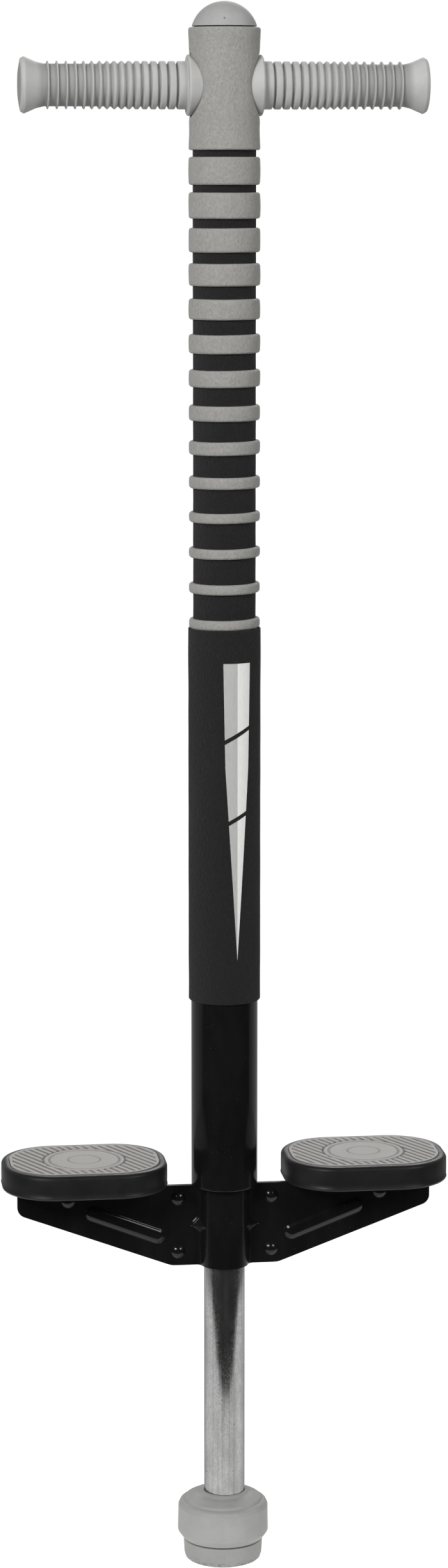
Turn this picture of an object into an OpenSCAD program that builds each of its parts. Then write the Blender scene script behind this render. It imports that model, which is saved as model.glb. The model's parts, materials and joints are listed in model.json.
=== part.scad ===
// Spring pogo stick for a child, standing upright with its spring fully extended.
// +Z up, +X to the rider's right pedal, origin at the centre of the ground pad.

/* [Overall] */
// Height of the dome's top above the ground
total_h = 942; // [930:1:960]
// Roundness of curved parts
round_steps = 96; // [48:8:128]

/* [Tubes] */
// Outside diameter of the spring housing
housing_d = 40; // [40:0.5:40.5]
// Outside diameter of the upper tube
upper_d = 32; // [31:0.5:32]
// Wall of both tubes
tube_wall = 1.5; // [1.2:0.1:1.6]
// Height of the housing's mouth, where the bracket ends
housing_z = 237; // [237:0.5:238]
// Height where the housing ends and the upper tube goes on
housing_top = 577; // [570:1:577]

/* [Plunger] */
// Outside diameter of the plunger
plunger_d = 25; // [24:0.5:25]
// Wall of the plunger
plunger_wall = 2; // [1.5:0.1:2.5]
// Travel of the plunger
travel = 100; // [80:5:105]
// Gap between pieces that move past each other
gap = 0.3; // [0.2:0.05:0.4]
// Radial gap of the plunger in its liner
run_gap = 0.05; // [0.02:0.01:0.1]

/* [Spring] */
// Diameter of the spring wire
wire_d = 4.4; // [3.6:0.1:4.6]
// Mean diameter of the coils
coil_d = 30; // [29.5:0.1:30.5]
// Number of coils
coils = 22; // [16:1:22]

/* [Tip] */
// Widest diameter of the rubber tip
tip_d = 55; // [52:0.5:57]
// Diameter of the pad that meets the ground
tip_pad_d = 46; // [42:0.5:48]
// Height of the tip
tip_h = 43; // [42:0.5:46]

/* [Bracket] */
// Half width of the bracket
bracket_x = 126.2; // [122:0.2:127]
// Thickness of each pressed plate
plate_t = 1.5; // [1.2:0.1:1.5]
// Lowest edge of the bracket
bracket_z = 188; // [186:0.5:190]
// Diameter of the rivet heads
rivet_d = 8.7; // [7:0.1:9]

/* [Pedals] */
// Distance from the axis to the middle of a pedal
pedal_x = 85.5; // [85:0.5:86]
// Half length of a pedal
pedal_hw = 50; // [49:0.5:51]
// Half depth of a pedal
pedal_hd = 38; // [37:0.5:40]
// Corner radius of a pedal
pedal_r = 32; // [28:0.5:34]
// Underside of the pedals
pedal_z = 239.7; // [239.5:0.1:239.9]
// Thickness of a pedal
pedal_h = 14.8; // [14:0.1:16]
// Angle of the tread's ribs to the long side
rib_angle = 62; // [50:1:75]

/* [Handlebar] */
// Height of the handlebar's axis
bar_z = 894; // [892:1:896]
// Outside diameter of the handlebar
bar_d = 20; // [19:0.5:20.5]
// Half span over the grips
grip_x = 120; // [118:0.5:122]
// Diameter of the grip's ribs
grip_rib_d = 27.6; // [26.5:0.1:28]
// Diameter between the ribs
grip_root_d = 24.3; // [23.5:0.1:25]
// Diameter of the grip's collar
grip_collar_d = 35.3; // [34:0.1:36]
// Diameter of the flared end
grip_flare_d = 32; // [30:0.5:33]

/* [Foam] */
// Outside diameter of the grey foam
foam_d = 42; // [41:0.5:42]
// Outside diameter of the black core between the rings
core_d = 37; // [36.5:0.1:37.5]
// Outside diameter of the lower sleeve
sleeve_d = 43; // [42:0.5:44]
// Lower edge of the lower sleeve
sleeve_z = 352.5; // [340:0.5:360]
// Upper edge of the lower sleeve
sleeve_top = 577.7; // [577:0.1:578]
// Lower edge of the foam head
head_z = 857; // [856:0.5:858]
// Upper edge of the foam head
head_top = 927; // [926:0.5:928]
// Top of the first ring
ring_top = 853.1; // [850:0.1:855]
// Distance from ring to ring
ring_pitch = 20.73; // [20.6:0.01:20.73]
// How far the middle rings stand above an even spacing
ring_bow = 1.4; // [0:0.1:1.5]
// Height of the first ring
ring_h = 16.1; // [12:0.1:16.1]
// How much each ring is lower than the one above
ring_step = 1.02; // [0.9:0.01:1.1]
// Height of the thinnest rings
ring_min = 5.9; // [5:0.1:5.9]

/* [Flash] */
// Top of the printed flash
flash_top = 558.5; // [520:0.5:560]
// Point of the printed flash
flash_tip = 380; // [370:0.5:400]
// Width of the flash at its top
flash_w = 17; // [12:0.5:18]
// Turn of the flash about the stick's axis
flash_turn = 14; // [0:1:20]

/* [Hidden] */
$fn = round_steps;
side = [-1, 1];

housing_r = housing_d / 2;
housing_ri = housing_r - tube_wall;
upper_r = upper_d / 2;
upper_ri = upper_r - tube_wall;
plunger_r = plunger_d / 2;
plunger_ri = plunger_r - plunger_wall;
bar_r = bar_d / 2;
bar_wall = 1.2;
bar_end = grip_x - 4;

// The channel is the round part of the two plates, and the liner fills it.
liner_ri = plunger_r + run_gap;
liner_wall = 0.75;
channel_ri = liner_ri + liner_wall;
channel_r = channel_ri + plate_t;
channel_top = housing_z + 12;
liner_flange_h = 3;
bumper_z = channel_top + liner_flange_h;
bumper_h = 10;
head_ring_z = bumper_z + bumper_h + gap;
head_ring_h = 14;
head_ring_r = 17;
seat_z = head_ring_z + head_ring_h + gap;
seat_t = 3;
seat_hub_h = 12;
hub_r = coil_d / 2 - wire_d / 2 - 0.6;
// The spring is as long as its closed coils, the travel and some preload and slack.
spring_slack = 63;
top_seat_z = seat_z + seat_t + coils * wire_d + travel + spring_slack;
top_seat_t = 8;
reducer_h = 18;

rings = 14;
rib_count = 17;
rib_first = 25.5;
rib_pitch = 4.8375;
rib_sway = 1.6;
collar_x = 22;
collar_start = 9;
bore_end = grip_x - 3.5;

dome_r = 19.7;
dome_h = total_h - head_top;
cap_plug_h = 19;
cap_wall = 2;

tread_inset = 3.9;
tread_t = 3;
tread_top = pedal_z + pedal_h + 0.4;
tread_depth = 1;
tread_pitch = 4.4;
tread_rib = 2.6;
boss_r = 24.5;
flange_z = 241;
flange_in = 6.5;
flange_y = 30;
opening_in = 15;

kink_x = 32.6;
slope = 0.389;
corner_r = 6;
bead_w = 8.3;
bead_h = 1.3;
bead_a = [80.5, 221.2];
bead_b = [41.35, 206];
gusset_x = 21.5;
gusset_z = 211.5;
gusset_half = 8;
rivet_shank_r = 2.5;
rivet_head_h = 2.4;
rivets = [[28.4, 228.8], [28.5, 195.4], [95.4, 229.4]];
rivet_list = [for (s = side) for (p = rivets) [s * p[0], p[1]]];

sleeve_gap = 0.1;
film = 0.3;
flash_cut = 2.4;

// ---- helpers ----

// Hollow cylinder from z0 to z1.
module pipe(ro, ri, z0, z1) {
    translate([0, 0, z0])
        difference() {
            cylinder(h = z1 - z0, r = ro);
            translate([0, 0, -1])
                cylinder(h = z1 - z0 + 2, r = ri);
        }
}

// Sleeve with rounded outer edges: f0 at the bottom, f1 at the top.
module soft_sleeve(ro, ri, z0, z1, f0, f1) {
    e0 = min(f0, 0.45 * (ro - ri));
    e1 = min(f1, 0.45 * (ro - ri));
    rotate_extrude()
        union() {
            translate([ri, z0])
                square([ro - ri - max(e0, e1), z1 - z0]);
            translate([ri, z0 + e0])
                square([ro - ri, z1 - z0 - e0 - e1]);
            translate([ro - e0, z0 + e0])
                circle(e0);
            translate([ro - e1, z1 - e1])
                circle(e1);
        }
}

// Rounded rectangle about the origin.
module slab_outline(hw, hd, r) {
    union() {
        square([2 * hw, 2 * (hd - r)], center = true);
        square([2 * (hw - r), 2 * hd], center = true);
        for (sx = side)
            for (sy = side)
                translate([sx * (hw - r), sy * (hd - r)])
                    circle(r);
    }
}

// The same shape on the right (s = 1) or the left (s = -1).
module on_side(s) {
    mirror([s < 0 ? 1 : 0, 0, 0])
        children();
}

// Points of an arc about c, from angle a0 to a1.
function arc(c, r, a0, a1, n = 8) =
    [for (i = [0:n]) c + r * [cos(a0 + (a1 - a0) * i / n), sin(a0 + (a1 - a0) * i / n)]];

// ---- tubes ----

module upper_tube() {
    color([0.1, 0.1, 0.1])
        difference() {
            pipe(upper_r, upper_ri, top_seat_z + top_seat_t, head_top);
            translate([0, 0, bar_z])
                rotate([0, 90, 0])
                    cylinder(h = 2 * upper_d, r = bar_r, center = true);
            pin_hole();
        }
}

module tube_reducer() {
    color([0.35, 0.35, 0.36])
        pipe(housing_ri, upper_r, housing_top - reducer_h, housing_top);
}

module spring_housing() {
    color([0.08, 0.08, 0.08])
        pipe(housing_r, housing_ri, housing_z, housing_top);
}

module upper_spring_seat() {
    color([0.5, 0.5, 0.52])
        difference() {
            union() {
                translate([0, 0, top_seat_z])
                    cylinder(h = top_seat_t, r = housing_ri);
                translate([0, 0, top_seat_z - seat_hub_h])
                    cylinder(h = seat_hub_h + 1, r = hub_r);
            }
            translate([0, 0, top_seat_z - seat_hub_h - 1])
                cylinder(h = top_seat_t + seat_hub_h + 2, r = 5);
        }
}

module housing_collar() {
    color([0.35, 0.35, 0.36])
        pipe(housing_ri, channel_r, housing_z, channel_top);
}

// ---- bracket ----

// Right half of a plate's outline, from the lower kink round to the step under the pedal.
end_z = bracket_z + slope * (bracket_x - kink_x);
corner_turn = 90 - atan(slope);
corner_z = end_z + corner_r * tan(corner_turn / 2);
step_x = pedal_x - pedal_hw + 4;
right_edge = concat(
    [[kink_x, bracket_z]],
    arc([bracket_x - corner_r, corner_z], corner_r, -corner_turn, 0),
    [[bracket_x, flange_z + plate_t], [step_x, flange_z + plate_t], [step_x, housing_z]]
);

module plate_outline() {
    n = len(right_edge);
    polygon(concat(right_edge, [for (i = [1:n]) [-right_edge[n - i][0], right_edge[n - i][1]]]));
}

// Flat foot that a pedal is moulded over.
module plate_flange() {
    translate([pedal_x, 0, flange_z])
        intersection() {
            linear_extrude(plate_t)
                slab_outline(pedal_hw - flange_in, flange_y, pedal_r - flange_in);
            translate([-pedal_hw, -flange_y - 1, -1])
                cube([2 * pedal_hw, flange_y + 1, plate_t + 2]);
        }
}

// Raised bead along the slope of the plate.
module plate_bead() {
    run = bead_b - bead_a;
    translate([bead_a[0], 0, bead_a[1]])
        rotate([90, atan2(-run[1], run[0]), 0])
            linear_extrude(plate_t + bead_h)
                union() {
                    translate([0, -bead_w / 2])
                        square([norm(run), bead_w]);
                    circle(d = bead_w);
                    translate([norm(run), 0])
                        circle(d = bead_w);
                }
}

// Pressed triangle that stiffens the plate beside the channel.
module plate_gusset() {
    back = -plate_t / 2;
    inner = channel_r - 0.8;
    polyhedron(
        points = [
            [gusset_x, back, gusset_z],
            [inner, back, gusset_z + gusset_half], [inner, back, gusset_z - gusset_half],
            [channel_r * 0.72, -channel_r * 0.66, gusset_z], [inner - 0.4, back, gusset_z]
        ],
        faces = [[0, 3, 1], [0, 2, 3], [1, 3, 4], [3, 2, 4], [0, 1, 4], [0, 4, 2]]
    );
}

// The front half; the back half is its mirror image.
module bracket_half() {
    difference() {
        union() {
            rotate([90, 0, 0])
                linear_extrude(plate_t)
                    plate_outline();
            for (s = side)
                on_side(s) {
                    plate_bead();
                    plate_gusset();
                    plate_flange();
                }
            intersection() {
                translate([0, 0, bracket_z])
                    cylinder(h = channel_top - bracket_z, r = channel_r);
                translate([-housing_d, -housing_d, bracket_z - 1])
                    cube([2 * housing_d, housing_d, housing_top]);
            }
        }
        translate([0, 0, bracket_z - 1])
            cylinder(h = channel_top - bracket_z + 2, r = channel_ri);
        for (p = rivet_list)
            translate([p[0], 0, p[1]])
                rotate([90, 0, 0])
                    cylinder(h = 20, r = rivet_shank_r, center = true);
    }
}

module bracket_front() {
    color([0.07, 0.07, 0.08])
        bracket_half();
}

module bracket_back() {
    color([0.07, 0.07, 0.08])
        mirror([0, 1, 0])
            bracket_half();
}

// Rivet with a domed head on both faces.
module rivet() {
    dome = (pow(rivet_d / 2, 2) + pow(rivet_head_h, 2)) / (2 * rivet_head_h);
    rotate([90, 0, 0])
        cylinder(h = 2 * plate_t, r = rivet_shank_r, center = true);
    for (s = side)
        rotate([s * 90, 0, 0])
            intersection() {
                translate([0, 0, plate_t + rivet_head_h - dome])
                    sphere(dome);
                translate([0, 0, plate_t])
                    cylinder(h = rivet_head_h + 1, d = rivet_d);
            }
}

module bracket_rivets() {
    color([0.1, 0.1, 0.1])
        for (p = rivet_list)
            translate([p[0], 0, p[1]])
                rivet();
}

module guide_bushing() {
    color([0.85, 0.85, 0.82])
        difference() {
            union() {
                translate([0, 0, bracket_z + 1])
                    cylinder(h = channel_top - bracket_z, r = channel_ri);
                translate([0, 0, channel_top])
                    cylinder(h = liner_flange_h, r = housing_ri);
            }
            translate([0, 0, bracket_z])
                cylinder(h = bumper_z - bracket_z + 1, r = liner_ri);
        }
}

module stop_bumper() {
    color([0.15, 0.15, 0.15])
        soft_sleeve(housing_ri - gap, plunger_r + 2 * gap, bumper_z, bumper_z + bumper_h, 1, 1);
}

// ---- handlebar ----

module pin_hole() {
    translate([0, 0, bar_z])
        rotate([90, 0, 0])
            cylinder(h = 2 * upper_d, r = 2.5, center = true);
}

module handlebar() {
    color([0.6, 0.6, 0.62])
        difference() {
            translate([0, 0, bar_z])
                rotate([0, 90, 0])
                    difference() {
                        cylinder(h = 2 * bar_end, r = bar_r, center = true);
                        cylinder(h = 2 * bar_end + 2, r = bar_r - bar_wall, center = true);
                    }
            pin_hole();
        }
}

module handlebar_pin() {
    color([0.5, 0.5, 0.5])
        translate([0, 0, bar_z])
            rotate([90, 0, 0])
                cylinder(h = 2 * (upper_r - 0.3), r = 2.5, center = true);
}

// Middle of rib i along the grip, and its widths at the crest and at the root.
function rib_x(i) = rib_first + rib_pitch * i + rib_sway * sin(360 * i / (rib_count - 1));
function rib_crest(i) = max(0.5, 4.3 - 0.5 * i);
function rib_root(i) = i < 9 ? 4.2 : 4.2 - 0.33 * (i - 8);

// Outline of one rib, from the hub side to the outer side.
function rib_points(i) =
    let (x = rib_x(i), w = rib_root(i) / 2, c = rib_crest(i) / 2, r0 = grip_root_d / 2, r1 = grip_rib_d / 2)
    [[x - w, r0], [x - c, r1], [x + c, r1], [x + w, r0]];

// Half section of a grip: collar, ribs, flared end and bore.
module grip_section() {
    root = grip_root_d / 2;
    flare = grip_flare_d / 2;
    collar = grip_collar_d / 2;
    polygon(concat(
        [[collar_start, bar_r], [collar_start, collar]],
        arc([collar_x - 1.5, collar - 1.5], 1.5, 90, 0, 6),
        [[collar_x, root]],
        [for (i = [0:rib_count - 1]) for (p = rib_points(i)) p],
        arc([grip_x - 15, root + 12], 12, -90, -60, 5),
        arc([grip_x - 2, flare - 2], 2, 125, 0, 7),
        [[grip_x, 0], [bore_end, 0], [bore_end, bar_r]]
    ));
}

module grip(s) {
    color([0.62, 0.62, 0.61])
        difference() {
            translate([0, 0, bar_z])
                rotate([0, s * 90, 0])
                    rotate_extrude()
                        rotate([0, 0, 90])
                            mirror([0, 1, 0])
                                grip_section();
            cylinder(h = total_h, r = upper_r);
        }
}

module grip_left() {
    grip(-1);
}

module grip_right() {
    grip(1);
}

module top_cap() {
    color([0.68, 0.68, 0.67])
        union() {
            intersection() {
                translate([0, 0, total_h - dome_r])
                    sphere(dome_r);
                translate([0, 0, head_top])
                    cylinder(h = dome_h + 1, r = dome_r + 1);
            }
            pipe(upper_ri, upper_ri - cap_wall, head_top - cap_plug_h, head_top + 1);
        }
}

// ---- foam ----

module foam_head() {
    color([0.63, 0.63, 0.6])
        difference() {
            soft_sleeve(foam_d / 2, upper_r, head_z, head_top, 2, 0.8);
            for (s = side)
                translate([s * collar_start, 0, bar_z])
                    rotate([0, s * 90, 0])
                        cylinder(h = foam_d, d = grip_collar_d);
        }
}

module foam_core() {
    color([0.15, 0.15, 0.15])
        pipe(core_d / 2, upper_r, sleeve_top, head_z);
}

module foam_lower() {
    color([0.15, 0.15, 0.15])
        soft_sleeve(sleeve_d / 2, housing_r + sleeve_gap, sleeve_z, sleeve_top, 1.2, 0.6);
}

// Top and height of ring k, counted from the top.
function ring_z(k) = ring_top - ring_pitch * k + ring_bow * sin(180 * k / (rings - 1));
function ring_height(k) = max(ring_min, ring_h - ring_step * k);

module foam_ring(k) {
    color([0.63, 0.63, 0.6])
        soft_sleeve(foam_d / 2, core_d / 2, ring_z(k) - ring_height(k), ring_z(k), 1.1, 1.1);
}

// ---- printed flash: a tapering blade with slanted breaks ----

module flash_outline(s) {
    half = flash_w / 2;
    span = flash_top - flash_tip;
    difference() {
        polygon([[0, 0], [s * half, 0], [s * half * 0.86, -span * 0.35], [0, -span]]);
        for (f = [0.24, 0.52])
            translate([0, -span * f])
                rotate([0, 0, 28])
                    square([3 * flash_w, flash_cut], center = true);
    }
}

module flash(s) {
    rotate([0, 0, flash_turn])
        intersection() {
            pipe(sleeve_d / 2 + film, sleeve_d / 2, sleeve_z, sleeve_top);
            translate([0, 0, flash_top])
                rotate([90, 0, 0])
                    linear_extrude(sleeve_d)
                        flash_outline(s);
        }
}

module flash_dark() {
    color([0.74, 0.74, 0.73])
        flash(-1);
}

module flash_light() {
    color([0.88, 0.88, 0.87])
        flash(1);
}

// ---- pedals ----

// Cross-section of a slab from x0 to x1: square at the bottom, rounded at the top.
module soft_profile(x0, x1, h, f) {
    union() {
        translate([x0, 0])
            square([x1 - x0, h - f]);
        translate([x0 + (x0 < 0 ? f : 0), 0])
            square([x1 - x0 - (x0 < 0 ? 2 * f : f), h]);
        translate([x1 - f, h - f])
            circle(f);
        if (x0 < 0)
            translate([x0 + f, h - f])
                circle(f);
    }
}

// Rounded slab with a soft top edge: two crossed bars and four round corners.
module soft_slab(hw, hd, r, h, f) {
    union() {
        rotate([90, 0, 0])
            linear_extrude(2 * (hd - r), center = true)
                soft_profile(-hw, hw, h, f);
        rotate([90, 0, 90])
            linear_extrude(2 * (hw - r), center = true)
                soft_profile(-hd, hd, h, f);
        for (sx = side)
            for (sy = side)
                translate([sx * (hw - r), sy * (hd - r), 0])
                    rotate_extrude()
                        soft_profile(0, r, h, f);
    }
}

module pedal(s) {
    color([0.12, 0.12, 0.13])
        on_side(s)
            difference() {
                translate([pedal_x, 0, pedal_z])
                    soft_slab(pedal_hw, pedal_hd, pedal_r, pedal_h, 2.2);
                translate([pedal_x, 0, pedal_z + pedal_h - tread_t])
                    linear_extrude(tread_t + 1)
                        slab_outline(pedal_hw - tread_inset, pedal_hd - tread_inset, pedal_r - tread_inset);
                translate([pedal_x, 0, flange_z])
                    linear_extrude(plate_t)
                        slab_outline(pedal_hw - flange_in, flange_y, pedal_r - flange_in);
                translate([pedal_x, 0, pedal_z - 1])
                    linear_extrude(flange_z - pedal_z + 1.2)
                        slab_outline(pedal_hw - opening_in, pedal_hd - opening_in, pedal_r - opening_in);
                translate([step_x, -plate_t, pedal_z - 1])
                    cube([bracket_x - step_x, 2 * plate_t, flange_z - pedal_z + 1.2]);
            }
}

module pedal_left() {
    pedal(-1);
}

module pedal_right() {
    pedal(1);
}

// Grey tread: slanted ribs round a plain ringed boss.
module pedal_pad(s) {
    base_z = pedal_z + pedal_h - tread_t;
    base_h = tread_top - tread_depth - base_z;
    hw = pedal_hw - tread_inset;
    hd = pedal_hd - tread_inset;
    r = pedal_r - tread_inset;
    color([0.6, 0.59, 0.58])
        translate([s * pedal_x, 0, base_z])
            union() {
                linear_extrude(base_h)
                    slab_outline(hw, hd, r);
                linear_extrude(base_h + tread_depth)
                    difference() {
                        slab_outline(hw, hd, r);
                        slab_outline(hw - 1.6, hd - 1.6, r - 1.6);
                    }
                linear_extrude(base_h + tread_depth)
                    difference() {
                        intersection() {
                            slab_outline(hw - 1, hd - 1, r - 1);
                            for (i = [-12:12])
                                rotate([0, 0, -rib_angle])
                                    translate([0, i * tread_pitch])
                                        square([200, tread_rib], center = true);
                        }
                        circle(boss_r + 1);
                    }
                linear_extrude(base_h + tread_depth)
                    difference() {
                        circle(boss_r);
                        circle(boss_r - 1.8);
                    }
                linear_extrude(base_h + tread_depth)
                    circle(boss_r - 3.4);
            }
}

module pedal_pad_left() {
    pedal_pad(-1);
}

module pedal_pad_right() {
    pedal_pad(1);
}

// ---- spring ----

spring_bottom = seat_z + seat_t + 0.1;
spring_top = top_seat_z - 0.1;
spring_sides = 8;
spring_turn_steps = 14;
spring_steps = coils * spring_turn_steps;

// Height along the spring at share t of its length: the end coils lie closed.
function spring_height(t) =
    let (c = 1.5 / coils, closed = 1.6 * wire_d, rise = spring_top - spring_bottom - wire_d)
    t < c ? closed * t / c
        : t > 1 - c ? rise - closed * (1 - t) / c
        : closed + (rise - 2 * closed) * (t - c) / (1 - 2 * c);

// Point j of the wire's outline at step i.
function wire_point(i, j) =
    let (a = 360 * i / spring_turn_steps, b = 360 * j / spring_sides,
         r = coil_d / 2 + wire_d / 2 * cos(b),
         z = spring_bottom + wire_d / 2 + spring_height(i / spring_steps))
    [r * cos(a), r * sin(a), z + wire_d / 2 * sin(b)];

module spring() {
    n = spring_sides;
    color([0.45, 0.45, 0.47])
        polyhedron(
            points = [for (i = [0:spring_steps]) for (j = [0:n - 1]) wire_point(i, j)],
            faces = concat(
                [[for (j = [0:n - 1]) j]],
                [for (i = [0:spring_steps - 1]) for (j = [0:n - 1])
                    [i * n + j, (i + 1) * n + j, (i + 1) * n + (j + 1) % n]],
                [for (i = [0:spring_steps - 1]) for (j = [0:n - 1])
                    [i * n + j, (i + 1) * n + (j + 1) % n, i * n + (j + 1) % n]],
                [[for (j = [0:n - 1]) spring_steps * n + n - 1 - j]]
            )
        );
}

module spring_seat() {
    color([0.5, 0.5, 0.52])
        difference() {
            union() {
                translate([0, 0, seat_z])
                    cylinder(h = seat_t, r = head_ring_r);
                translate([0, 0, seat_z])
                    cylinder(h = seat_t + seat_hub_h, r = hub_r);
            }
            translate([0, 0, seat_z - 1])
                cylinder(h = seat_t + seat_hub_h + 2, r = 6);
        }
}

// ---- plunger ----

washer_z = 18;
washer_t = 2;

module plunger_tube() {
    color([0.75, 0.75, 0.76])
        pipe(plunger_r, plunger_ri, washer_z + washer_t, head_ring_z + head_ring_h);
}

module plunger_head() {
    color([0.55, 0.55, 0.56])
        difference() {
            pipe(head_ring_r, plunger_r, head_ring_z, head_ring_z + head_ring_h);
            pipe(head_ring_r + 1, head_ring_r - 1.5, head_ring_z + 3, head_ring_z + head_ring_h - 3);
        }
}

module guide_ring() {
    color([0.85, 0.85, 0.82])
        pipe(housing_ri - 0.08, head_ring_r - 1.5, head_ring_z + 3, head_ring_z + head_ring_h - 3);
}

module tip_washer() {
    color([0.5, 0.5, 0.52])
        translate([0, 0, washer_z])
            cylinder(h = washer_t, r = plunger_r);
}

// Half section of the rubber tip.
module tip_section() {
    pad_r = tip_pad_d / 2;
    bulb_r = tip_d / 2;
    difference() {
        polygon(concat(
            [[0, 0]],
            arc([pad_r - 2.4, 1.6], 1.6, -90, -10, 5),
            [[pad_r + 0.4, 12.4], [pad_r - 0.6, 13], [pad_r + 1, 13.7], [bulb_r - 0.3, 18]],
            arc([bulb_r - 9, tip_h - 14], 9, 0, 62, 8),
            [[plunger_r + 2.2, tip_h - 1.2], [plunger_r + 0.9, tip_h], [0, tip_h]]
        ));
        translate([-1, washer_z])
            square([plunger_r + 1, tip_h]);
    }
}

module tip() {
    color([0.62, 0.62, 0.61])
        rotate_extrude()
            tip_section();
}

// ---- the nodes ----

upper_tube();
tube_reducer();
spring_housing();
upper_spring_seat();
housing_collar();
bracket_front();
bracket_back();
bracket_rivets();
guide_bushing();
stop_bumper();
handlebar();
handlebar_pin();
grip_left();
grip_right();
top_cap();
foam_head();
foam_core();
foam_lower();
foam_ring(0);  // foam_ring_01
foam_ring(1);  // foam_ring_02
foam_ring(2);  // foam_ring_03
foam_ring(3);  // foam_ring_04
foam_ring(4);  // foam_ring_05
foam_ring(5);  // foam_ring_06
foam_ring(6);  // foam_ring_07
foam_ring(7);  // foam_ring_08
foam_ring(8);  // foam_ring_09
foam_ring(9);  // foam_ring_10
foam_ring(10);  // foam_ring_11
foam_ring(11);  // foam_ring_12
foam_ring(12);  // foam_ring_13
foam_ring(13);  // foam_ring_14
flash_dark();
flash_light();
pedal_left();
pedal_right();
pedal_pad_left();
pedal_pad_right();
spring();
spring_seat();
plunger_tube();
plunger_head();
guide_ring();
tip_washer();
tip();
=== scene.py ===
import json
import math

import bmesh
import bpy
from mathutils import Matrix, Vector, noise

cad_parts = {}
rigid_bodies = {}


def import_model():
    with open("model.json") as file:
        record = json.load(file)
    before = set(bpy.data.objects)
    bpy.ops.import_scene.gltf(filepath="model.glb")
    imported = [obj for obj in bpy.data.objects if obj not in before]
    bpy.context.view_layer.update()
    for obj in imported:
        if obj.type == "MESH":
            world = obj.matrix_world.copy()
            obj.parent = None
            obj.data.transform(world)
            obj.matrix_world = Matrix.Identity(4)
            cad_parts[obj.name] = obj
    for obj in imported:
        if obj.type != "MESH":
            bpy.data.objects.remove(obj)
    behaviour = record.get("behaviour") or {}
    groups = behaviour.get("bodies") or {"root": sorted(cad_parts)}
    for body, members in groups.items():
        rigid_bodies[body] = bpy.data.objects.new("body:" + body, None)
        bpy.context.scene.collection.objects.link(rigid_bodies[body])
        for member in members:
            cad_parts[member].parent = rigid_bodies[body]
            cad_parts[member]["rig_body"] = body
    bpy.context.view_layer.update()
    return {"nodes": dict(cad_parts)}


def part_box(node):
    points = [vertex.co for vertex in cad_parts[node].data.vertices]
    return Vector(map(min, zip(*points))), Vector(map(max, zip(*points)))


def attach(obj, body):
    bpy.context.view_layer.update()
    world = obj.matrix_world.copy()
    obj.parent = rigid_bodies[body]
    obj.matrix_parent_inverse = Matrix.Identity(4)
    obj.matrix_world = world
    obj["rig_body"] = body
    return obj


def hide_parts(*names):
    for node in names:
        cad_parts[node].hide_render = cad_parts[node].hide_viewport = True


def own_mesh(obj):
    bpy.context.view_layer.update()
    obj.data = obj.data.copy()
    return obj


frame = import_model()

# Spring pogo stick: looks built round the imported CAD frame. Lengths in the
# functions below are millimetres; MM turns them into metres.
MM = 0.001
NODES = frame["nodes"]


# ---- reading the frame ----

def span(node):
    """Lowest and highest corner of a CAD node, in millimetres."""
    lo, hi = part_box(node)
    return lo / MM, hi / MM


def islands(node):
    """Lowest and highest corner of each loose part of a CAD node, in millimetres, from the left."""
    mesh = bmesh.new()
    mesh.from_mesh(NODES[node].data)
    bmesh.ops.remove_doubles(mesh, verts=mesh.verts, dist=1e-6)
    left, found = set(mesh.verts), []
    while left:
        group, todo = [], [left.pop()]
        while todo:
            vert = todo.pop()
            group.append(vert.co / MM)
            for edge in vert.link_edges:
                other = edge.other_vert(vert)
                if other in left:
                    left.remove(other)
                    todo.append(other)
        found.append((
            Vector([min(p[i] for p in group) for i in range(3)]),
            Vector([max(p[i] for p in group) for i in range(3)]),
        ))
    mesh.free()
    return sorted(found, key=lambda box: tuple(box[0]))


# ---- mesh helpers ----

def new_object(name, data):
    """An object for the data, linked to the scene."""
    made = bpy.data.objects.new(name, data)
    bpy.context.scene.collection.objects.link(made)
    return made


def make_piece(name, verts, faces, nodes, slot, sharp=38):
    """A closed mesh, dressed by its slot, that stands for the CAD nodes and rides on their body."""
    data = bpy.data.meshes.new(name)
    data.from_pydata([tuple(c * MM for c in v) for v in verts], [], faces)
    mesh = bmesh.new()
    mesh.from_mesh(data)
    bmesh.ops.remove_doubles(mesh, verts=mesh.verts, dist=2e-6)
    bmesh.ops.dissolve_degenerate(mesh, edges=mesh.edges, dist=1e-6)
    bmesh.ops.recalc_face_normals(mesh, faces=mesh.faces)
    mesh.to_mesh(data)
    mesh.free()
    data.shade_smooth()
    data.set_sharp_from_angle(angle=math.radians(sharp))
    data.materials.append(MATTERS[slot])
    piece = new_object(name, data)
    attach(piece, NODES[nodes[0]]["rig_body"])
    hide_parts(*nodes)
    return piece


def bevel(piece, width, angle):
    """Small rounding of the edges sharper than an angle."""
    mod = piece.modifiers.new("edges", "BEVEL")
    mod.width = width * MM
    mod.segments = 2
    mod.limit_method = "ANGLE"
    mod.angle_limit = math.radians(angle)


def rounded(points, steps=4):
    """Closed outline with filleted corners, from (a, b, radius) points."""
    out = []
    for i, (a, b, radius) in enumerate(points):
        here = Vector((a, b))
        back = Vector(points[i - 1][:2]) - here
        on = Vector(points[(i + 1) % len(points)][:2]) - here
        half = back.angle(on) / 2 if radius > 0 else 0
        if radius <= 0 or half > 1.55:
            out.append((a, b))
            continue
        run = min(radius / math.tan(half), 0.49 * back.length, 0.49 * on.length)
        radius = run * math.tan(half)
        middle = here + (back.normalized() + on.normalized()).normalized() * (radius / math.sin(half))
        first = here + back.normalized() * run - middle
        last = here + on.normalized() * run - middle
        start = math.atan2(first.y, first.x)
        turn = (math.atan2(last.y, last.x) - start + math.pi) % (2 * math.pi) - math.pi
        for k in range(steps + 1):
            angle = start + turn * k / steps
            out.append((middle.x + radius * math.cos(angle), middle.y + radius * math.sin(angle)))
    return out


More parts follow.
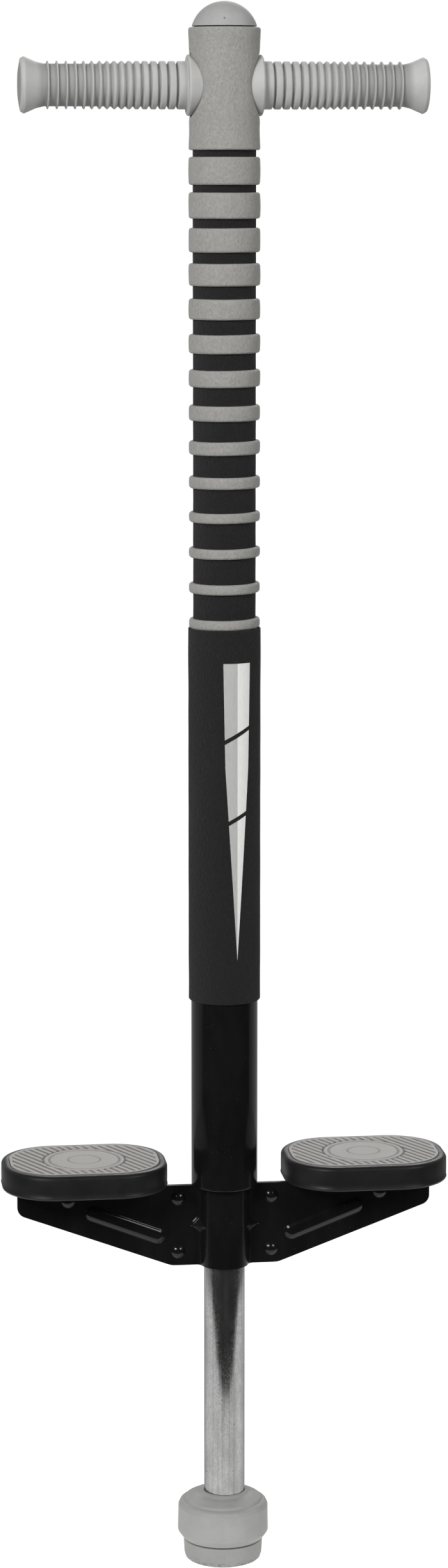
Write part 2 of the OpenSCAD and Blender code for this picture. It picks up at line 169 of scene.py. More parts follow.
def dense(loop, step):
    """The same outline with its long sides split into steps."""
    out = []
    for i, (a, b) in enumerate(loop):
        c, d = loop[(i + 1) % len(loop)]
        parts = max(1, math.ceil(math.hypot(c - a, d - b) / step))
        out += [(a + (c - a) * k / parts, b + (d - b) * k / parts) for k in range(parts)]
    return out


def lathe(loop, turns=96, axis="Z", centre=(0, 0, 0)):
    """Vertices and faces of a closed outline of (radius, height) turned about an axis."""
    verts, faces = [], []
    n = len(loop)
    for k in range(turns):
        c, s = math.cos(2 * math.pi * k / turns), math.sin(2 * math.pi * k / turns)
        for r, h in loop:
            point = {"Z": (r * c, r * s, h), "X": (h, r * c, r * s), "Y": (r * c, h, r * s)}[axis]
            verts.append(tuple(point[i] + centre[i] for i in range(3)))
    for k in range(turns):
        a, b = k * n, (k + 1) % turns * n
        for i in range(n):
            j = (i + 1) % n
            if loop[i][0] > 1e-6 or loop[j][0] > 1e-6:
                faces.append((a + i, b + i, b + j, a + j))
    return verts, faces


def joined(*parts):
    """Several (vertices, faces) as one."""
    verts, faces = [], []
    for v, f in parts:
        faces += [tuple(i + len(verts) for i in face) for face in f]
        verts += v
    return verts, faces


def slab(outer, inner):
    """Closed shell between two grids of points with the same rows and columns."""
    rows, cols = len(outer), len(outer[0])
    verts = [p for row in outer for p in row] + [p for row in inner for p in row]
    shift = rows * cols
    faces = []
    for i in range(rows - 1):
        for j in range(cols - 1):
            a, b = i * cols + j, (i + 1) * cols + j
            faces.append((a, a + 1, b + 1, b))
            faces.append((shift + b, shift + b + 1, shift + a + 1, shift + a))
    rim = list(range(cols))
    rim += [i * cols + cols - 1 for i in range(1, rows)]
    rim += [(rows - 1) * cols + j for j in range(cols - 2, -1, -1)]
    rim += [i * cols for i in range(rows - 2, 0, -1)]
    for a, b in zip(rim, rim[1:] + rim[:1]):
        faces.append((b, a, a + shift, b + shift))
    return verts, faces


def smooth(low, high, value):
    """0 up to low, 1 from high on, and an easy rise between."""
    t = min(1.0, max(0.0, (value - low) / (high - low)))
    return t * t * (3 - 2 * t)


def grain(point, size):
    """Smooth noise from -1 to 1 with bumps of about that size."""
    return noise.noise(Vector(point) / size)


# ---- materials ----

def tint(r, g, b):
    """Linear colour of an sRGB one, 0 to 255."""
    return tuple(
        (c / 255 / 12.92) if c <= 10 else ((c / 255 + 0.055) / 1.055) ** 2.4 for c in (r, g, b)
    ) + (1.0,)


class Matter:
    """A procedural material on object coordinates."""

    def __init__(self, name, **fixed):
        self.material = bpy.data.materials.new(name)
        self.material.use_nodes = True
        self.tree = self.material.node_tree
        self.shader = self.tree.nodes["Principled BSDF"]
        self.where = self.tree.nodes.new("ShaderNodeTexCoord").outputs["Object"]
        for socket, value in fixed.items():
            self.shader.inputs[socket.replace("_", " ")].default_value = value

    def put(self, value, socket):
        """Sets or links one input."""
        if isinstance(value, bpy.types.NodeSocket):
            self.tree.links.new(value, socket)
        else:
            socket.default_value = value

    def node(self, kind, output, settings=None, **inputs):
        """One output of a new node, with its settings and inputs filled in."""
        made = self.tree.nodes.new(kind)
        for key, value in (settings or {}).items():
            setattr(made, key, value)
        for key, value in inputs.items():
            self.put(value, made.inputs[key.replace("_", " ")])
        return made.outputs[output]

    def stretched(self, scale):
        """The place scaled by axis, which draws a pattern out along the smallest one."""
        return self.node("ShaderNodeMapping", "Vector", Vector=self.where, Scale=scale)

    def noise(self, size, stretch=(1, 1, 1), detail=4.0, rough=0.55):
        """Noise with features of a size in millimetres, drawn out along an axis."""
        return self.node(
            "ShaderNodeTexNoise", "Fac", Vector=self.stretched(stretch),
            Scale=1 / (size * MM), Detail=detail, Roughness=rough,
        )

    def cells(self, size, stretch=(1, 1, 1)):
        """Distance to scattered points about a size apart, in millimetres."""
        return self.node(
            "ShaderNodeTexVoronoi", "Distance", Vector=self.stretched(stretch), Scale=1 / (size * MM),
        )

    def ramp(self, value, low, high, start=0.0, end=1.0):
        """Easy change from start to end as the value runs from low to high."""
        return self.node(
            "ShaderNodeMapRange", "Result", {"interpolation_type": "SMOOTHSTEP"},
            Value=value, From_Min=low, From_Max=high, To_Min=start, To_Max=end,
        )

    def maths(self, operation, *values):
        """Result of a maths node on one or two values."""
        made = self.tree.nodes.new("ShaderNodeMath")
        made.operation = operation
        for value, socket in zip(values, made.inputs):
            self.put(value, socket)
        return made.outputs[0]

    def times(self, a, b):
        return self.maths("MULTIPLY", a, b)

    def add(self, a, b):
        return self.maths("ADD", a, b)

    def axis(self, which):
        """One coordinate of the place, in metres."""
        made = self.tree.nodes.new("ShaderNodeSeparateXYZ")
        self.put(self.where, made.inputs[0])
        return made.outputs[which]

    def from_bar(self, height):
        """Distance from the line along X at a height, in metres."""
        flat = self.node(
            "ShaderNodeMapping", "Vector", Vector=self.where, Location=(0, 0, -height), Scale=(0, 1, 1),
        )
        return self.node("ShaderNodeVectorMath", "Value", {"operation": "LENGTH"}, Vector=flat)

    def spot(self, centre, low, high):
        """1 within a distance of a place, 0 beyond a larger one."""
        away = self.node("ShaderNodeVectorMath", "Value", {"operation": "DISTANCE"}, Vector=self.where)
        away.node.inputs[1].default_value = [c * MM for c in centre]
        return self.ramp(away, low * MM, high * MM, 1.0, 0.0)

    def edges(self, low=0.51, high=0.56):
        """1 on convex edges, 0 on flats."""
        point = self.node("ShaderNodeNewGeometry", "Pointiness")
        return self.ramp(point, low, high)

    def blend(self, share, a, b):
        """Colour a where the share is 0 and colour b where it is 1."""
        made = self.tree.nodes.new("ShaderNodeMix")
        made.data_type = "RGBA"
        self.put(share, made.inputs["Factor"])
        self.put(a, made.inputs[6])
        self.put(b, made.inputs[7])
        return made.outputs[2]

    def over(self, tone, mask, share, colour):
        """The tone with a share of a colour laid over it where the mask is on."""
        return self.blend(self.times(mask, share), tone, colour)

    def mottled(self, mask, low, high, colour, dark, light):
        """A colour made darker or lighter as the mask runs from low to high."""
        return self.blend(self.ramp(mask, low, high), shade(colour, dark), shade(colour, light))

    def bump(self, height, depth, strength=1.0, under=None):
        """Bump of a depth in millimetres, on top of another one."""
        inputs = {"Height": height, "Distance": depth * MM, "Strength": strength}
        if under is not None:
            inputs["Normal"] = under
        return self.node("ShaderNodeBump", "Normal", **inputs)

    def done(self, colour, rough, normal=None):
        """Joins the results to the shader and hands back the material."""
        self.put(colour, self.shader.inputs["Base Color"])
        self.put(rough, self.shader.inputs["Roughness"])
        if normal is not None:
            self.put(normal, self.shader.inputs["Normal"])
        return self.material


def shade(colour, factor):
    """A colour made lighter or darker."""
    return tuple(min(1.0, c * factor) for c in colour[:3]) + (1.0,)


def foam_matter(name, colour, speck, sheen, relief):
    """Closed-cell foam: pebbled skin, drawn-out grain and dark specks."""
    m = Matter(name, Sheen_Weight=sheen, Sheen_Roughness=0.6, Specular_IOR_Level=0.2)
    pebbles = m.noise(1.25, (1, 1, 0.65), detail=5, rough=0.65)
    streaks = m.noise(1.5, (1, 1, 0.3), detail=4, rough=0.6)
    clouds = m.noise(34, (1, 1, 0.5), detail=3)
    pores = m.ramp(m.cells(1.3, (1, 1, 0.7)), 0.10, 0.45)
    dark, light = 1 - 0.14 * relief, 1 + 0.10 * relief
    tone = m.mottled(pebbles, 0.34, 0.66, colour, dark, light)
    tone = m.over(tone, m.ramp(streaks, 0.35, 0.65), 0.4, shade(colour, 0.9))
    tone = m.over(tone, m.ramp(clouds, 0.35, 0.7), 0.3, shade(colour, 0.92))
    tone = m.over(tone, m.ramp(pores, 0, 1, 1, 0), 0.1, shade(colour, 0.55))
    specks = m.times(m.ramp(m.cells(2.9), 0.15, 0.08), m.ramp(m.noise(9), 0.48, 0.6))
    tone = m.over(tone, specks, 0.4, speck)
    normal = m.bump(pores, 0.12 * relief, 0.6)
    normal = m.bump(pebbles, 1.05 * relief, 1.0, normal)
    return m.done(tone, m.ramp(clouds, 0.3, 0.7, 0.78, 0.92), normal)


def rubber_matter(name, colour, rough, wear, grit=0.06, shine=0.4):
    """Moulded rubber or soft plastic: fine matt skin, faint mottling, rubbed edges."""
    m = Matter(name, Specular_IOR_Level=shine)
    skin = m.noise(0.55, detail=3)
    clouds = m.noise(17, detail=4, rough=0.6)
    dust = m.ramp(m.noise(2.6, detail=6, rough=0.75), 0.56, 0.72)
    tone = m.mottled(clouds, 0.3, 0.7, colour, 0.92, 1.07)
    tone = m.over(tone, dust, 0.16, shade(colour, 1.35))
    tone = m.over(tone, m.times(m.edges(), dust), wear, shade(colour, 1.7))
    normal = m.bump(skin, grit, 0.5)
    normal = m.bump(clouds, 0.25, 0.25, normal)
    return m.done(tone, m.ramp(clouds, 0.3, 0.7, rough - 0.06, rough + 0.07), normal)


def dome_sphere():
    """Radius of the cap's dome and height of its centre."""
    hi = span("top_cap")[1]
    rise = hi.z - span("foam_head")[1].z
    radius = (rise * rise + hi.x * hi.x) / (2 * rise)
    return radius, hi.z - radius


def cap_matter():
    """Matt moulded cap with a small dark gate mark."""
    m = Matter("cap_skin", Specular_IOR_Level=0.3)
    radius, middle = dome_sphere()
    gate = m.spot((-2.0, -radius * math.cos(0.5), middle + radius * math.sin(0.5)), 0.4, 0.9)
    skin = m.noise(0.7, detail=3)
    clouds = m.noise(14, detail=5, rough=0.65)
    colour = tint(164, 164, 162)
    tone = m.mottled(clouds, 0.3, 0.7, colour, 0.93, 1.05)
    tone = m.over(tone, m.ramp(skin, 0.4, 0.62), 0.25, shade(colour, 0.86))
    tone = m.over(tone, gate, 0.6, tint(70, 68, 66))
    normal = m.bump(clouds, 0.2, 0.25, m.bump(skin, 0.08, 0.5))
    return m.done(tone, m.ramp(clouds, 0.3, 0.7, 0.58, 0.72), normal)


def grip_matter():
    """Grip rubber: matt skin with painted shade between the ribs."""
    m = Matter("grip_skin", Specular_IOR_Level=0.3)
    lo, hi = span("grip_left")
    reach = m.from_bar((lo.z + hi.z) / 2 * MM)
    skin = m.noise(0.55, detail=3)
    clouds = m.noise(17, detail=4, rough=0.6)
    # Painted shade: the rubber is darkened towards the root of the ribs, where shade falls between them.
    groove_shade = m.ramp(reach, 12.3 * MM, 13.6 * MM, 1.0, 0.0)
    base = tint(181, 181, 179)
    tone = m.mottled(clouds, 0.3, 0.7, base, 0.93, 1.06)
    tone = m.over(tone, groove_shade, 0.62, shade(base, 0.42))
    dust = m.ramp(m.noise(2.6, detail=6, rough=0.75), 0.56, 0.72)
    tone = m.over(tone, dust, 0.15, shade(base, 1.2))
    normal = m.bump(clouds, 0.25, 0.25, m.bump(skin, 0.05, 0.5))
    return m.done(tone, m.ramp(clouds, 0.3, 0.7, 0.6, 0.74), normal)


def gloss_black_matter():
    """Gloss powder coat: faint orange peel, dust and rubbed edges."""
    m = Matter("gloss_black_coat", IOR=1.36)
    peel = m.noise(2.4, detail=2)
    smear = m.noise(26, (1, 1, 0.4), detail=5, rough=0.65)
    dust = m.times(m.ramp(m.cells(2.2), 0.11, 0.05), m.ramp(m.noise(12), 0.52, 0.64))
    base = tint(17, 17, 18)
    tone = m.mottled(smear, 0.35, 0.7, base, 0.85, 1.35)
    tone = m.over(tone, dust, 0.35, tint(105, 103, 100))
    tone = m.over(tone, m.edges(0.53, 0.60), 0.10, tint(120, 120, 122))
    normal = m.bump(peel, 0.05, 0.28)
    return m.done(tone, m.ramp(smear, 0.3, 0.75, 0.12, 0.22), normal)


def bright_steel_matter():
    """Bright plating: mottled, faintly pitted, rubbed lengthwise by its guide."""
    m = Matter("bright_plating", Metallic=0.97, Specular_Tint=(0.45, 0.45, 0.45, 1))
    mottle = m.noise(0.9, (1, 1, 0.6), detail=4, rough=0.65)
    pits = m.times(m.ramp(m.cells(1.9), 0.16, 0.07), m.ramp(m.noise(11, detail=3), 0.46, 0.62))
    blots = m.times(m.ramp(m.cells(7), 0.085, 0.06), m.ramp(m.noise(24, detail=2), 0.48, 0.58))
    haze = m.noise(11, (1, 1, 0.4), detail=7, rough=0.75)
    streaks = m.noise(2.2, (1, 1, 0.012), detail=5, rough=0.6)
    base = tint(160, 160, 160)
    tone = m.mottled(haze, 0.35, 0.68, base, 0.82, 1.12)
    tone = m.over(tone, m.ramp(streaks, 0.45, 0.66), 0.45, tint(110, 107, 104))
    tone = m.over(tone, m.ramp(mottle, 0.42, 0.6), 0.3, tint(122, 121, 119))
    tone = m.over(tone, pits, 0.5, tint(104, 98, 90))
    tone = m.over(tone, blots, 0.85, tint(50, 46, 43))
    rough = m.add(m.ramp(haze, 0.3, 0.75, 0.06, 0.13), m.times(m.ramp(mottle, 0.4, 0.65), 0.08))
    normal = m.bump(m.ramp(pits, 0, 1, 1, 0), 0.03, 0.4)
    normal = m.bump(mottle, 0.012, 0.5, normal)
    normal = m.bump(streaks, 0.20, 0.6, normal)
    return m.done(tone, rough, normal)


def plain_steel_matter(name, colour, rough):
    """Plated or oiled steel that the covers hide."""
    m = Matter(name, Metallic=1.0)
    drawn = m.noise(0.7, (1, 1, 0.05), detail=3)
    haze = m.noise(8, detail=5, rough=0.65)
    tone = m.mottled(haze, 0.3, 0.7, colour, 0.8, 1.1)
    tone = m.over(tone, m.edges(0.52, 0.6), 0.3, shade(colour, 1.3))
    normal = m.bump(drawn, 0.02, 0.5)
    return m.done(tone, m.ramp(haze, 0.3, 0.7, rough - 0.08, rough + 0.1), normal)


def print_matter(name, colour):
    """Screen print on foam: the grain shows through and rubs it thin."""
    m = Matter(name, Specular_IOR_Level=0.3)
    streaks = m.noise(1.1, (1, 1, 0.22), detail=6, rough=0.7)
    thin = m.ramp(m.noise(5, (1, 1, 0.5), detail=7, rough=0.75), 0.60, 0.78)
    tone = m.mottled(streaks, 0.3, 0.7, colour, 0.95, 1.04)
    tone = m.over(tone, thin, 0.28, tint(96, 95, 93))
    return m.done(tone, m.ramp(streaks, 0.3, 0.7, 0.55, 0.7), m.bump(streaks, 0.08, 0.5))


def tread_matter():
    """Moulded warm grey tread with painted shade down the walls and bottoms of its grooves."""
    m = Matter("tread_skin", Specular_IOR_Level=0.35)
    top = span("pedal_pad_left")[1].z * MM
    skin = m.noise(0.6, detail=3)
    clouds = m.noise(13, detail=5, rough=0.65)
    # Painted shade: the rubber darkens the deeper it lies below the tread's face, down into the grooves.
    low = m.ramp(m.axis(2), top - 0.55 * MM, top - 0.08 * MM, 1.0, 0.0)
    base = tint(156, 154, 151)
    tone = m.mottled(clouds, 0.3, 0.7, base, 0.9, 1.08)
    tone = m.over(tone, low, 0.6, tint(72, 69, 66))
    dirt = m.ramp(m.noise(1.9, detail=6, rough=0.8), 0.58, 0.72)
    tone = m.over(tone, dirt, 0.2, shade(base, 0.6))
    normal = m.bump(clouds, 0.2, 0.3, m.bump(skin, 0.06, 0.5))
    return m.done(tone, m.ramp(clouds, 0.3, 0.7, 0.6, 0.78), normal)


# Height of the groove between the tip's bulb and its ground pad.
TIP_GROOVE = 12.8


def tip_matter():
    """Grey tip rubber, scuffed and dirty where it meets the ground, with painted shade in the groove above
    the pad.
    """
    m = Matter("tip_skin", Specular_IOR_Level=0.35)
    height = m.axis(2)
    skin = m.noise(0.6, detail=3)
    clouds = m.noise(15, detail=5, rough=0.65)
    scuffs = m.ramp(m.noise(2.2, (1, 1, 2.2), detail=7, rough=0.8), 0.50, 0.62)
    low = m.ramp(height, 0.9 * MM, 4.2 * MM, 1.0, 0.0)
    mid = m.ramp(height, 2 * MM, 24 * MM, 0.35, 0.05)
    # Painted shade: a dark ring along the groove between bulb and ground pad.
    from_groove = m.maths("ABSOLUTE", m.add(height, -TIP_GROOVE * MM))
    groove = m.ramp(from_groove, 0.3 * MM, 0.9 * MM, 1.0, 0.0)
    base, groove_shade = tint(151, 151, 149), tint(84, 82, 80)
    tone = m.mottled(clouds, 0.3, 0.7, base, 0.94, 1.05)
    tone = m.over(tone, scuffs, mid, shade(base, 0.7))
    # Below the groove the ground pad is made a little darker in the same dark tone.
    tone = m.blend(m.ramp(height, 12 * MM, 13 * MM, 0.16, 0.0), tone, groove_shade)
    tone = m.over(tone, groove, 0.6, groove_shade)
    tone = m.over(tone, scuffs, m.times(low, 0.9), tint(74, 70, 66))
    normal = m.bump(scuffs, 0.12, 0.3, m.bump(skin, 0.06, 0.5))
    return m.done(tone, m.ramp(clouds, 0.3, 0.7, 0.55, 0.74), normal)


def floor_matter():
    """Pale floor that glows a little, so that it meets the white room softly."""
    m = Matter("pale_floor", Specular_IOR_Level=0.1, Emission_Color=(1, 1, 1, 1), Emission_Strength=0.92)
    fleck = m.noise(30, detail=4)
    tone = m.blend(m.ramp(fleck, 0.3, 0.7), (0.38, 0.38, 0.38, 1), (0.42, 0.42, 0.42, 1))
    return m.done(tone, 0.9)


MATTERS = {
    "grey_foam": foam_matter("grey_foam_skin", tint(164, 163, 159), tint(92, 90, 86), 0.1, 1.0),
    "black_foam": foam_matter("black_foam_skin", tint(32, 32, 33), tint(64, 64, 65), 0.05, 1.6),
    "grip_rubber": grip_matter(),
    "cap_plastic": cap_matter(),
    "pedal_rubber": rubber_matter("pedal_skin", tint(28, 28, 29), 0.42, 0.5, 0.05, 0.16),
    "black_rubber": rubber_matter("bumper_skin", tint(32, 32, 32), 0.6, 0.4),
    "nylon": rubber_matter("nylon_skin", tint(224, 222, 215), 0.4, 0.2, 0.02),
    "tread_rubber": tread_matter(),
    "tip_rubber": tip_matter(),
    "gloss_black_steel": gloss_black_matter(),
    "bright_steel": bright_steel_matter(),
    "zinc_steel": plain_steel_matter("zinc_skin", tint(178, 180, 184), 0.36),
    "spring_steel": plain_steel_matter("spring_skin", tint(120, 120, 124), 0.34),
    "print_grey": print_matter("print_grey_ink", tint(184, 184, 182)),
    "print_white": print_matter("print_white_ink", tint(236, 236, 234)),
}


# ---- head: cap and foam ----

def top_cap():
    """Domed cap with a gap line under it."""
    lo, hi = span("top_cap")
    base = span("foam_head")[1].z
    radius, middle = dome_sphere()
    foot = base + 0.75
    first = math.asin((foot - middle) / radius)
    arc = [
        (radius * math.cos(t), middle + radius * math.sin(t))
        for t in [first + (math.pi / 2 - first) * k / 24 for k in range(25)]
    ]
    arc[-1] = (0, hi.z)
    edge = radius * math.cos(first)
    loop = [(0, base + 0.9), (edge - 2.4, base + 0.9), (edge - 1.9, foot - 0.15), (edge - 0.5, foot - 0.2)]
    stem = rounded([(0, base + 1.2, 0), (0, lo.z, 0), (13.8, lo.z, 1), (14.4, base + 1.2, 0)])
    verts, faces = joined(lathe(loop + arc, 128), lathe(stem, 64))
    make_piece("cap_dome", verts, faces, ["top_cap"], "cap_plastic")


def sleeve_loop(lo, hi, bore, top_round, low_round, step):
    """Outline of a foam sleeve with soft ends."""
    return dense(rounded([
        (bore, lo.z, 0), (hi.x, lo.z, low_round), (hi.x, hi.z, top_round), (bore, hi.z, 0),
    ], 5), step)


COLLAR_RADIUS = 15.1
COLLAR_START = 14.5
COLLAR_FLARE = 0.40


def collar_radius(x):
    """Radius of a grip's collar, which grows from the foam outwards."""
    return COLLAR_RADIUS + COLLAR_FLARE * (x - COLLAR_START)


def foam_head():
    """Grey head sleeve, squeezed a little below the collars, with a seam where they come through."""
    lo, hi = span("foam_head")
    bar_z = (span("grip_left")[0].z + span("grip_left")[1].z) / 2
    bore = span("upper_tube")[1].x
    verts, faces = lathe(sleeve_loop(lo, hi, bore, 1.3, 1.2, 0.6), 320)
    soft = []
    for x, y, z in verts:
        r = math.hypot(x, y)
        if r > bore + 1:
            reach = math.hypot(y, z - bar_z) - collar_radius(abs(x))
            pinch = 0.45 * math.exp(-((z - bar_z + 25) / 9) ** 2)
            pinch += 0.35 * math.exp(-((z - bar_z - 22) / 6) ** 2)
            seam = 1.1 * (1 - smooth(0.2, 0.9, abs(reach - 0.1))) * smooth(9, 13, abs(x))
            lip = 0.35 * (1 - smooth(0.4, 4.0, abs(reach))) * smooth(9, 13, abs(x))
            k = (r - pinch - seam - lip + 0.2 * grain((x, y, z * 0.6), 15)) / r
            x, y = x * k, y * k
        soft.append((x, y, z))
    piece = make_piece("head_foam", soft, faces, ["foam_head"], "grey_foam")


def foam_core():
    """Black foam between the rings."""
    lo, hi = span("foam_core")
    bore = span("upper_tube")[1].x
    loop = dense([(bore, lo.z), (hi.x, lo.z), (hi.x, hi.z), (bore, hi.z)], 4)
    verts, faces = lathe(loop, 120)
    soft = [wavy(v, bore + 1, 0.12, 11) for v in verts]
    piece = make_piece("core_foam", soft, faces, ["foam_core"], "black_foam")


def wavy(v, inner, depth, size):
    """The point moved in or out a little, outside the inner radius."""
    x, y, z = v
    r = math.hypot(x, y)
    if r < inner:
        return v
    k = 1 + depth * grain((x, y, z), size) / r
    return x * k, y * k, z


RINGS = 14


def foam_rings():
    """Grey rings that sit a little askew on the core."""
    bore = span("foam_core")[1].x - 0.4
    for i in range(1, RINGS + 1):
        node = f"foam_ring_{i:02d}"
        lo, hi = span(node)
        fillet = min(1.6, (hi.z - lo.z) * 0.24)
        verts, faces = lathe(sleeve_loop(lo, hi, bore, fillet, fillet, 1.6), 144)
        tilt = math.tan(math.radians(1.5 * (i - 1) / (RINGS - 1) + 0.25 * math.sin(2.3 * i)))
        middle = (lo.z + hi.z) / 2
        soft = []
        for v in verts:
            x, y, z = wavy(v, bore + 2, 0.16, 9)
            r = math.hypot(x, y)
            crown = 0.25 * (1 - min(1, abs(z - middle) / (0.5 * (hi.z - lo.z))) ** 2)
            k = (r + crown - 0.25) / r
            lift = 0.5 * tilt * x + 0.12 * grain((x * 0.5, y * 0.5, 40 * i), 11)
            soft.append((x * k, y * k, z + lift))
        piece = make_piece(f"ring_foam_{i:02d}", soft, faces, [node], "grey_foam")


def foam_lower():
    """Long black sleeve, slightly uneven, with cut ends."""
    lo, hi = span("foam_lower")
    bore = span("spring_housing")[1].x + 0.1
    verts, faces = lathe(sleeve_loop(lo, hi, bore, 1.4, 0.9, 3), 160)
    soft = [wavy(v, bore + 0.6, 0.16, 22) for v in verts]
    piece = make_piece("sleeve_foam", soft, faces, ["foam_lower"], "black_foam")


# ---- printed flash ----

FLASH_TURN = 14
FLASH_WIDTH = 17
FLASH_CUT = 2.4
FLASH_BREAKS = (0.24, 0.52)
FLASH_ANGLE = math.radians(28)
FLASH_SLOPE = math.tan(FLASH_ANGLE)
FLASH_THIN = 0.02


def flash_half(z, top, tip):
    """Half width of the blade at a height."""
    share = (top - z) / (top - tip)
    if share < 0.35:
        return FLASH_WIDTH / 2 * (1 - 0.4 * share)
    return FLASH_WIDTH / 2 * 0.86 * (1 - share) / 0.65


def flash_height(side, across, start, top, tip, slope):
    """Height of a slanted line across the blade, at a share of the blade's half width."""
    u = 0.0
    for _ in range(8):
        u = side * across * max(FLASH_THIN, flash_half(start + slope * u, top, tip))
    return start + slope * u


def flash(name, node, side, slot):
    """Tapering half blade in three fields, bent round the sleeve."""
    lo, hi = span(node)
    top, tip = hi.z, lo.z
    radius = span("foam_lower")[1].x
    length = top - tip
    cut = FLASH_CUT / 2 / math.cos(FLASH_ANGLE)
    marks = [top - length * f for f in FLASH_BREAKS]
    fields = [(top, 0, marks[0] + cut, FLASH_SLOPE)]
    fields += [(marks[0] - cut, FLASH_SLOPE, marks[1] + cut, FLASH_SLOPE)]
    fields += [(marks[1] - cut, FLASH_SLOPE, tip, 0)]
    parts = []
    for high, high_slope, low, low_slope in fields:
        rows = max(8, int(abs(high - low) / 2))
        outer, inner = [], []
        for i in range(rows + 1):
            line_out, line_in = [], []
            for j in range(9):
                z0 = flash_height(side, j / 8, high, top, tip, high_slope)
                z1 = flash_height(side, j / 8, low, top, tip, low_slope)
                z = z0 + (z1 - z0) * i / rows
                u = side * j / 8 * max(FLASH_THIN, flash_half(z, top, tip))
                angle = math.radians(FLASH_TURN) + u / radius - math.pi / 2
                for line, r in ((line_out, radius + 0.24), (line_in, radius - 0.2)):
                    line.append((r * math.cos(angle), r * math.sin(angle), z))
            outer.append(line_out)
            inner.append(line_in)
        parts.append(slab(outer, inner))
    verts, faces = joined(*parts)
    make_piece(name, verts, faces, [node], slot, 60)


# ---- grips ----

GRIP_RIBS = 17
GRIP_FIRST = 25.5
GRIP_PITCH = 4.8375
GRIP_SWAY = 1.6
# How much shorter the end faces are than in the CAD, as in the photo.
GRIP_SHORT = 0.25


def rib_middle(i):
    """Distance of a rib from the stick's axis."""
    return GRIP_FIRST + GRIP_PITCH * i + GRIP_SWAY * math.sin(2 * math.pi * i / (GRIP_RIBS - 1))


def grip_outline(collar, end, bore):
    """Half section of a grip: collar, ribs, flared end."""
    root, crest = 12.15, 13.8
    points = [(bore, 10.5, 0), (collar_radius(10.5), 10.5, 0.4), (collar_radius(20), 20, 1.2)]
    points += [(collar, 21.1, 0.5), (collar - 0.6, 22, 0.6), (crest, 22.2, 0.8)]
    for i in range(GRIP_RIBS):
        low = (4.2 if i < 9 else max(1.4, 3.9 - 0.48 * (i - 8))) / 2
        high = max(0.5, 4.3 - 0.5 * i) / 2
        low = max(low, high + 0.12)
        x = rib_middle(i)
        if i > 0:
            points += [(root, x - low, 0.25), (crest, x - high, 0.8)]
        points += [(crest, x + high, 0.8), (root, x + low, 0.25)]
    points += [(root, end - 14.8, 2.5), (root + 1.1, end - 10.2, 7), (15.9, end - 4.1, 1)]
    points += [(16.3, end - 3.2, 0.6), (15.2, end - 1.15, 1), (9, end - 0.05, 3), (0, end, 0)]
    points += [(0, end - 3.5, 0), (bore, end - 3.5, 0)]
    return dense(rounded(points, 4), 2.2)


def grip(node, side):
    """Ribbed rubber grip pushed over the handlebar."""
    lo, hi = span(node)
    middle = (lo.z + hi.z) / 2
    end = (hi.x if side > 0 else -lo.x) - GRIP_SHORT
    collar = (hi.z - lo.z) / 2
    loop = grip_outline(collar, end, (span("handlebar")[1].z - span("handlebar")[0].z) / 2)
    verts, faces = lathe([(r, side * h) for r, h in loop], 144, "X", (0, 0, middle))
    soft = [(x, y * (1 + 0.001 * grain((x, y, z), 14)), z) for x, y, z in verts]
    make_piece(f"{node}_rubber", soft, faces, [node], "grip_rubber", 45)


# ---- housing and bracket ----

def spring_housing():
    """Gloss black tube with a softened mouth."""
    lo, hi = span("spring_housing")
    wall = 1.5
    mouth = [(hi.x - wall, lo.z, 0.5), (hi.x, lo.z, 0.45), (hi.x, lo.z + 2.2, 0.4)]
    body = [(hi.x, hi.z, 0.3), (hi.x - wall, hi.z, 0.3)]
    verts, faces = lathe(dense(rounded(mouth + body), 8), 192)
    make_piece("housing_tube", verts, faces, ["spring_housing"], "gloss_black_steel")


# How much lower the plates' edge is than in the CAD, as in the photo.
EDGE_DROP = 1.2
PLATE = 1.5
CHANNEL = 14.8
FILLET = 3.6
KINK = 32.6
SLOPE = 0.373
CORNER = 4
END = 126.2
STEP = 39.5
BEAD_A = Vector((80.5, 221.2))
BEAD_B = Vector((41.35, 206))
GUSSET = Vector((21.5, 211.5))
# Flange under a pedal: heights above the plate's lowest point, then its plan and bend.
FLANGE_LOW = 53
FLANGE_TOP = 54.5
FLANGE_DEPTH = 30
FLANGE_STRAIGHT = 18
FLANGE_ROUND = 25.5
BEND = 2.5


def plate_low(x, base):
    """Height of the plate's lower edge."""
    reach = x - KINK
    z = base + SLOPE * (reach + math.sqrt(reach * reach + 1)) / 2
    if x > END - CORNER:
        z += CORNER - math.sqrt(max(0, CORNER ** 2 - (x - END + CORNER) ** 2))
    return z


def plate_face(x, z):
    """How far the plate's outer face stands out at (x, z): channel, fillet and gusset."""
    foot = math.sqrt((CHANNEL + FILLET) ** 2 - (PLATE + FILLET) ** 2)
    meet = foot * CHANNEL / (CHANNEL + FILLET)
    if x < meet:
        out = math.sqrt(CHANNEL ** 2 - x * x)
    elif x < foot:
        out = PLATE + FILLET - math.sqrt(max(0, FILLET ** 2 - (foot - x) ** 2))
    else:
        out = PLATE
    reach = GUSSET.x - x
    if reach > 0 and x > 8:
        away = z - GUSSET.y
        half = reach * 8 / 7.5 if away > 0 else 0.25 + 0.09 * reach * reach
        ridge = PLATE + reach * 0.763
        rise = ridge + (PLATE - ridge) * math.sqrt(away ** 2 + 0.5) / half
        gap = rise - out
        out += (gap + math.sqrt(gap * gap + 0.08)) / 2 if abs(away) < half + 1.5 else 0
        crease = math.exp(-(((away - half) * 0.7) / 0.55) ** 2)
        crease *= smooth(0.5, 2, reach) * (1 - smooth(5, 7, reach))
        out += 0.5 * crease if away > 0 else 0
    return out


def plate_columns():
    """Distances from the middle at which the plate is sampled, closest where it bends most."""
    arc = [CHANNEL * math.sin(math.radians(a)) for a in range(0, 75, 3)]
    near = [14.35 + 0.25 * k for k in range(36)]
    flat = [23.6 + (END - CORNER - 23.6) * k / 60 for k in range(61)]
    corner = [END - CORNER + CORNER * math.sin(math.radians(a)) for a in range(6, 91, 6)]
    return arc + near + flat + corner


